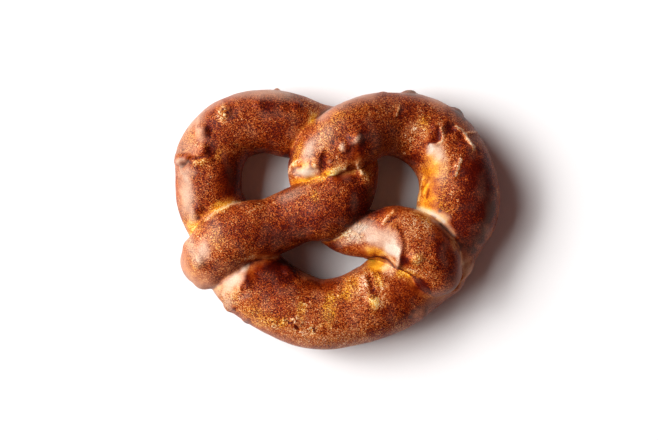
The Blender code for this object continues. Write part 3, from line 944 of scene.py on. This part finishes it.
class Crust:
    """The skin before its relief, with what the camera sees of it."""

    def __init__(self, data):
        self.points = points_of(data)
        self.outward = normals_of(data)
        faces = [p.vertices[:] for p in data.polygons]
        self.tree = BVHTree.FromPolygons(self.points.tolist(), faces)
        eye = np.array(EYE)
        away = self.points - eye
        self.flat = (eye + away * ((LEVEL - eye[2]) / away[:, 2])[:, None])[:, :2]
        away /= np.linalg.norm(away, axis=1)[:, None]
        turned = np.sum(self.outward * away, axis=1)
        in_sight = np.array([self.is_seen(p) for p in self.points], float)
        rest = np.clip(1.0 - turned / UNDER_FADE, 0.0, 1.0)
        self.seen = np.where(turned > 0.0, rest * rest * (3.0 - 2.0 * rest), in_sight)
        self.ragged = 1.0 + unevenness(self.points, *RAGGED_PATCHES)
        stray = [unevenness(self.points, *waver) for waver in WAVERS]
        self.wavering = self.flat + np.transpose(stray)

    def is_seen(self, point):
        eye = Vector(EYE)
        hit, _, _, _ = self.tree.ray_cast(eye, (Vector(point) - eye).normalized())
        return hit is None or (hit - Vector(point)).length < FUSE_SIZE * 2

    def seat(self, x, y):
        """The point of the crust that the camera sees at (x, y), or the flank nearest to it."""
        eye = Vector(EYE)
        place, _, _, _ = self.tree.ray_cast(eye, (Vector((x, y, LEVEL)) - eye).normalized())
        if place is None:
            place, _, _, _ = self.tree.find_nearest(Vector((x, y, LEVEL)))
        return np.array(place)

    def patch(self, x, y, along, across, turn):
        """1 in the middle of an oval patch, falling softly to 0 outside it."""
        cosine, sine = math.cos(math.radians(turn)), math.sin(math.radians(turn))
        dx, dy = self.flat[:, 0] - x, self.flat[:, 1] - y
        away = ((dx * cosine + dy * sine) / along) ** 2 + ((dy * cosine - dx * sine) / across) ** 2
        return np.exp(-((away * self.ragged) ** PATCH_EDGE)) * self.seen

    def line(self, amount, reach, path):
        """The amount along a path of points, falling softly to 0 beside it."""
        return amount * np.exp(-((self.beside(path) / reach) ** 2)) * self.seen

    def beside(self, path):
        """How far each point lies to the left of a path of points, less than 0 to its right."""
        nearest = np.full(len(self.flat), FAR_OFF)
        side = np.ones(len(self.flat))
        for a, b in zip(path[:-1], path[1:]):
            start, run = np.array(a), np.array(b) - np.array(a)
            offset = self.wavering - start
            t = np.clip(offset @ run / (run @ run), 0.0, 1.0)
            away = np.linalg.norm(offset - t[:, None] * run, axis=1)
            closer = away < nearest
            nearest[closer] = away[closer]
            side[closer] = np.sign(run[0] * offset[closer, 1] - run[1] * offset[closer, 0])
        return nearest * np.where(side == 0, 1, side)


def unevenness(points, strength, size, seed):
    """Smooth noise of about that strength, with bumps of about that size in mm."""
    shift = Vector([seed * step for step in NOISE_STEPS])
    return strength * np.array([noise.noise(Vector(p) / size + shift) for p in points])


def bump(distance, radius):
    """1 at the middle of a lump of that radius, falling smoothly to 0."""
    return np.clip(1 - (distance / radius * TAPER) ** 2, 0.0, 1.0) ** 2


def add_relief(data, crust):
    """Raises the lumps and folds, sinks the dents and makes the rope slightly uneven."""
    rise = unevenness(crust.points, *SWELL)
    rise += unevenness(crust.points, *KNOBBLE)
    for x, y, radius, height in LUMPS:
        away = np.linalg.norm(crust.points - crust.seat(x, y), axis=1) * np.sqrt(crust.ragged)
        rise += height * bump(away, radius)
    for height, left, right, path in FOLDS:
        side = crust.beside(path)
        flank = np.where(side > 0, side / left, side / right)
        rise += height * np.exp(-(flank**2)) * crust.seen
    move_points(data, crust.points + crust.outward * rise[:, None])


def lay_on_tray(data):
    """Flattens the underside where the rope dips under the tray."""
    points = points_of(data)
    z = points[:, 2]
    points[:, 2] = (z + np.sqrt(z**2 + TRAY_ROUNDING**2)) / 2
    points[:, 2] -= points[:, 2].min()
    move_points(data, points)


def seam_of(points, rings, stretches):
    """How close each point is to a strand that crosses over it: 1 at the seam, 0 further off."""
    middles = np.array([ring[:, 2].mean() for ring in rings])
    whole = BVHTree.FromPolygons(np.concatenate(rings).tolist(), tube_faces(len(rings)))
    own = np.array([whole.find_nearest(Vector(p))[2] for p in points]) // RING_SIDES
    gap = np.full(len(points), SEAM_BAND * 2)
    over = np.zeros(len(points))
    for n in range(len(STRETCHES)):
        held = [i for i in range(len(rings)) if stretches[i] == n]
        part = BVHTree.FromPolygons(
            np.concatenate([rings[i] for i in held]).tolist(), tube_faces(len(held))
        )
        for v in np.nonzero(np.abs(stretches[own] - n) > 1)[0]:
            place, _, face, away = part.find_nearest(Vector(points[v]), SEAM_BAND * 2)
            if place is not None and away < gap[v]:
                gap[v] = away
                over[v] = middles[held[face // RING_SIDES]] > middles[own[v]] + OVER_BY
    ragged = gap + unevenness(points, *RAGGED_SEAMS)
    return over * np.clip(1 - ragged / SEAM_BAND, 0, 1)


def keep_values(data, name, values):
    """Keeps a value from 0 to 1 at each point of the mesh, for its material."""
    layer = data.attributes.new(name, "FLOAT", "POINT")
    layer.data.foreach_set("value", np.clip(values, 0, 1).astype(np.float32))


def add_patches(values, crust, patches, sign=1.0):
    """Adds the amounts of oval patches to the values, or with a sign of -1 takes them away."""
    for x, y, along, across, turn, amount in patches:
        values += sign * amount * crust.patch(x, y, along, across, turn)


def painted_shade_bands(crust):
    """How much darker the bands of painted shade make each point, and the share of painted highlight
    left.
    """
    darker, painted_highlight_share = np.zeros(len(crust.points)), np.ones(len(crust.points))
    for amount, reach, path in PAINTED_SHADE_BANDS:
        side = crust.beside(path)
        left = crust.seen / (1 + np.exp(-side / BAND_EDGE))
        darker += amount * np.exp(-((side / reach) ** 2)) * left
        painted_highlight_share *= 1.0 - np.exp(-((side / PAINTED_HIGHLIGHT_STOP) ** 2)) * left
    return darker, painted_highlight_share


def torn_places(crust):
    """1 where the crust is torn, falling quickly to 0 outside."""
    torn = np.zeros(len(crust.points))
    for x, y, radius in TORN:
        away = np.linalg.norm(crust.points - crust.seat(x, y), axis=1)
        torn = np.maximum(torn, np.exp(-((away / radius) ** TORN_EDGE)))
    return torn


def bake_crust(data, crust, rings, stretches):
    """Keeps each point's tone with its painted light and shade, and how torn, golden, blistered and
    highlighted it is.
    """
    points = crust.points
    seam = seam_of(points, rings, stretches)
    # Painted shade: the dark bands on the sides of ridges and lumps turned from the light.
    darker, painted_highlight_share = painted_shade_bands(crust)
    baked = np.full(len(points), BAKED)
    for uneven in UNEVEN_BAKING:
        baked += unevenness(points, *uneven)
    # The tone's patches, lines and spots also paint highlights where light falls and shade where it
    # doesn't.
    add_patches(baked, crust, TONE_AND_PAINTED_LIGHT, -1.0)
    for amount, reach, path in STREAKS_AND_PAINTED_LIGHT:
        baked -= crust.line(amount, reach, path)
    for x, y, radius, amount in SPOTS_AND_PAINTED_LIGHT:
        baked -= amount * crust.patch(x, y, radius, radius, 0.0)
    baked += darker
    baked -= SEAM_PALER * seam
    golden = np.zeros(len(points))
    add_patches(golden, crust, GOLDEN)
    golden += unevenness(points, *UNEVEN_GOLD)
    golden += SEAM_GOLDEN * seam
    blistered = 1.0 - SEAM_SMOOTHER * seam
    add_patches(blistered, crust, SMOOTH, -1.0)
    # Painted highlight: patches where the smooth skin catches the light, and painted sheens on rims and
    # seams.
    painted_highlight = np.zeros(len(points))
    add_patches(painted_highlight, crust, PAINTED_HIGHLIGHTS)
    for amount, reach, path in PAINTED_SHEENS:
        painted_sheen = crust.line(amount, reach, path)
        painted_highlight += painted_sheen
        blistered -= painted_sheen * SHEEN_SMOOTHER
    painted_highlight = painted_highlight * painted_highlight_share + unevenness(points, *UNEVEN_PAINTED_HIGHLIGHT)
    keep_values(data, "baked", baked)
    keep_values(data, "torn", torn_places(crust))
    keep_values(data, "golden", golden)
    keep_values(data, "painted_highlight", painted_highlight)
    keep_values(data, "blistered", blistered)


class Shader:
    """Makes a material's nodes and links them by value."""

    def __init__(self, name):
        self.material = bpy.data.materials.new(name)
        self.material.use_nodes = True
        self.tree = self.material.node_tree
        self.principled = self.tree.nodes["Principled BSDF"]

    def put(self, socket, value):
        if isinstance(value, bpy.types.NodeSocket):
            self.tree.links.new(value, socket)
        else:
            socket.default_value = value

    def feed(self, node, **inputs):
        """Sets a node's inputs, named with _ for a space, to numbers, colours or outputs."""
        for key, value in inputs.items():
            self.put(node.inputs[key.replace("_", " ")], value)

    def node(self, kind, settings=(), **inputs):
        made = self.tree.nodes.new(kind)
        for key, value in dict(settings).items():
            setattr(made, key, value)
        self.feed(made, **inputs)
        return made

    def attribute(self, name):
        return self.node("ShaderNodeAttribute", {"attribute_name": name}).outputs["Fac"]

    def math(self, operation, first, second=0.0, third=0.0, clamp=False):
        made = self.node("ShaderNodeMath", {"operation": operation, "use_clamp": clamp})
        for socket, value in zip(made.inputs, (first, second, third)):
            self.put(socket, value)
        return made.outputs[0]

    def place(self):
        """The place on the object in mm."""
        place = self.node("ShaderNodeTexCoord").outputs["Object"]
        scale = {"operation": "SCALE"}
        return self.node("ShaderNodeVectorMath", scale, Vector=place, Scale=1 / MM).outputs[0]

    def noise(self, size, detail, roughness):
        made = self.node("ShaderNodeTexNoise", Vector=self.place(), Scale=1.0 / size)
        self.feed(made, Detail=detail, Roughness=roughness)
        return made.outputs["Fac"]

    def cells(self, size):
        return self.node("ShaderNodeTexVoronoi", Vector=self.place(), Scale=1.0 / size)

    def span(self, value, low, high, to_low=0.0, to_high=1.0):
        """The value led smoothly from one range over to another."""
        made = self.node("ShaderNodeMapRange", {"interpolation_type": "SMOOTHSTEP"})
        self.feed(made, Value=value, From_Min=low, From_Max=high, To_Min=to_low, To_Max=to_high)
        return made.outputs[0]

    def mix(self, factor, first, second):
        made = self.node("ShaderNodeMix", {"data_type": "RGBA"})
        for socket, value in ((0, factor), (6, first), (7, second)):
            self.put(made.inputs[socket], value)
        return made.outputs[2]

    def first_channel(self, colour):
        return self.node("ShaderNodeSeparateColor", Color=colour).outputs[0]

    def ramp(self, value, stops):
        made = self.node("ShaderNodeValToRGB", Fac=value)
        elements = made.color_ramp.elements
        while len(elements) < len(stops):
            elements.new(0.5)
        for element, (place, colour) in zip(elements, stops):
            element.position = place
            element.color = (*colour, 1.0)
        return made.outputs["Color"]


def blisters(shader, blistered):
    """Round blisters that stand in groups, and less than 0 between them."""
    dome = shader.span(shader.cells(BLISTER_SIZE).outputs["Distance"], *BLISTER_SPAN)
    group = shader.span(shader.noise(*GROUP_NOISE), *GROUP_SPAN)
    height = shader.math("SUBTRACT", shader.math("MULTIPLY", dome, group), BLISTER_MEAN)
    return shader.math("MULTIPLY", height, blistered)


def finest_grain(shader, blistered):
    """Grains lighter and darker than the rest, weaker where the skin is smooth."""
    grains = shader.first_channel(shader.cells(GRAIN_SIZE).outputs["Color"])
    strength = shader.math("MULTIPLY_ADD", blistered, 1.0 - SMOOTH_GRAIN, SMOOTH_GRAIN)
    return shader.math("MULTIPLY", shader.math("SUBTRACT", grains, GRAIN_MEAN), strength)


def torn_crumb(shader):
    """Bits of pale crumb, and less than 0 for the crust between them, where the skin is torn."""
    bits = shader.span(shader.noise(*CRUMB_NOISE), *CRUMB_SPAN)
    bits = shader.math("SUBTRACT", bits, CRUMB_MEAN)
    return shader.math("MULTIPLY", bits, shader.attribute("torn"))


def crust_material():
    shader = Shader("crust")
    painted_highlight, blistered = shader.attribute("painted_highlight"), shader.attribute("blistered")
    blister = blisters(shader, blistered)
    grain = finest_grain(shader, blistered)
    crumb = torn_crumb(shader)
    tone = shader.math("MULTIPLY_ADD", blister, -BLISTER_PALER, shader.attribute("baked"))
    tone = shader.math("MULTIPLY_ADD", grain, GRAIN_DARKER, tone)
    tone = shader.math("MULTIPLY_ADD", crumb, -CRUMB_PALER, tone)
    brown, gold = shader.ramp(tone, BAKED_COLOURS), shader.ramp(tone, GOLDEN_COLOURS)
    colour = shader.mix(shader.attribute("golden"), brown, gold)
    # The painted highlight's colour goes over the crust's colour, less where the grain is dark.
    veil = shader.math("MULTIPLY_ADD", grain, -1.0, PAINTED_HIGHLIGHT_MOST)
    painted_highlight_share = shader.math("MULTIPLY", painted_highlight, veil, clamp=True)
    height = shader.math("MULTIPLY_ADD", grain, -GRAIN_DEPTH, blister)
    height = shader.math("MULTIPLY_ADD", crumb, CRUMB_HEIGHT, height)
    relief = shader.node("ShaderNodeBump", Height=height, Strength=1.0, Distance=RELIEF * MM)
    shader.feed(
        shader.principled,
        Base_Color=shader.mix(painted_highlight_share, colour, shader.ramp(painted_highlight, PAINTED_HIGHLIGHT_COLOURS)),
        Roughness=shader.span(blistered, *ROUGHNESS_SPAN),
        Specular_IOR_Level=CRUST_SHINE,
        Normal=relief.outputs["Normal"],
    )
    return shader.material


def make_pretzel():
    route, station = through(ROUTE, STEP)
    rings = rings_of(route)
    stretch = np.array(STRETCH_OF_STATION)[station]
    stretches = np.concatenate([[stretch[0]] * CAP_RINGS, stretch, [stretch[-1]] * CAP_RINGS])
    item = bpy.data.objects.new("baked_pretzel", swept_rope(rings))
    bpy.context.collection.objects.link(item)
    fuse(item)
    crust = Crust(item.data)
    add_relief(item.data, crust)
    lay_on_tray(item.data)
    bake_crust(item.data, crust, rings, stretches)
    item.data.shade_smooth()
    item.data.materials.append(crust_material())
    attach(item, "root")
    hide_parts("pretzel")


def make_floor():
    mesh = bmesh.new()
    bmesh.ops.create_grid(mesh, x_segments=1, y_segments=1, size=FLOOR_HALF)
    data = bpy.data.meshes.new("floor")
    mesh.to_mesh(data)
    mesh.free()
    floor = bpy.data.objects.new("floor", data)
    bpy.context.collection.objects.link(floor)
    paper = Shader("white paper")
    paper.feed(paper.principled, Base_Color=PAPER_COLOUR, Roughness=PAPER_ROUGHNESS)
    paper.feed(paper.principled, Specular_IOR_Level=PAPER_SHINE)
    data.materials.append(paper.material)


def soft_box(name, azimuth, elevation, size, power):
    """A rectangular light, seen from the pretzel at that azimuth from +X and that elevation."""
    light = bpy.data.lights.new(name, "AREA")
    light.shape = "RECTANGLE"
    light.size, light.size_y = size
    light.energy = power
    item = bpy.data.objects.new(name, light)
    bpy.context.collection.objects.link(item)
    a, e = math.radians(azimuth), math.radians(elevation)
    way = Vector((math.cos(e) * math.cos(a), math.cos(e) * math.sin(a), math.sin(e)))
    item.location = way * WINDOW_DISTANCE
    item.rotation_euler = (-item.location).to_track_quat("-Z", "Y").to_euler()


def make_light():
    for box in WINDOW_BOXES:
        soft_box(*box)
    world = bpy.data.worlds.new("studio")
    world.use_nodes = True
    world.node_tree.nodes["Background"].inputs["Color"].default_value = FILL_COLOUR
    world.node_tree.nodes["Background"].inputs["Strength"].default_value = FILL_STRENGTH
    bpy.context.scene.world = world


def make_camera():
    data = bpy.data.cameras.new("camera")
    data.lens = LENS
    data.sensor_width = SENSOR
    camera = bpy.data.objects.new("camera", data)
    camera.location = Vector(EYE) * MM
    bpy.context.collection.objects.link(camera)
    bpy.context.scene.camera = camera
    bpy.context.scene.view_settings.view_transform = "Standard"


make_camera()
make_light()
make_floor()
make_pretzel()
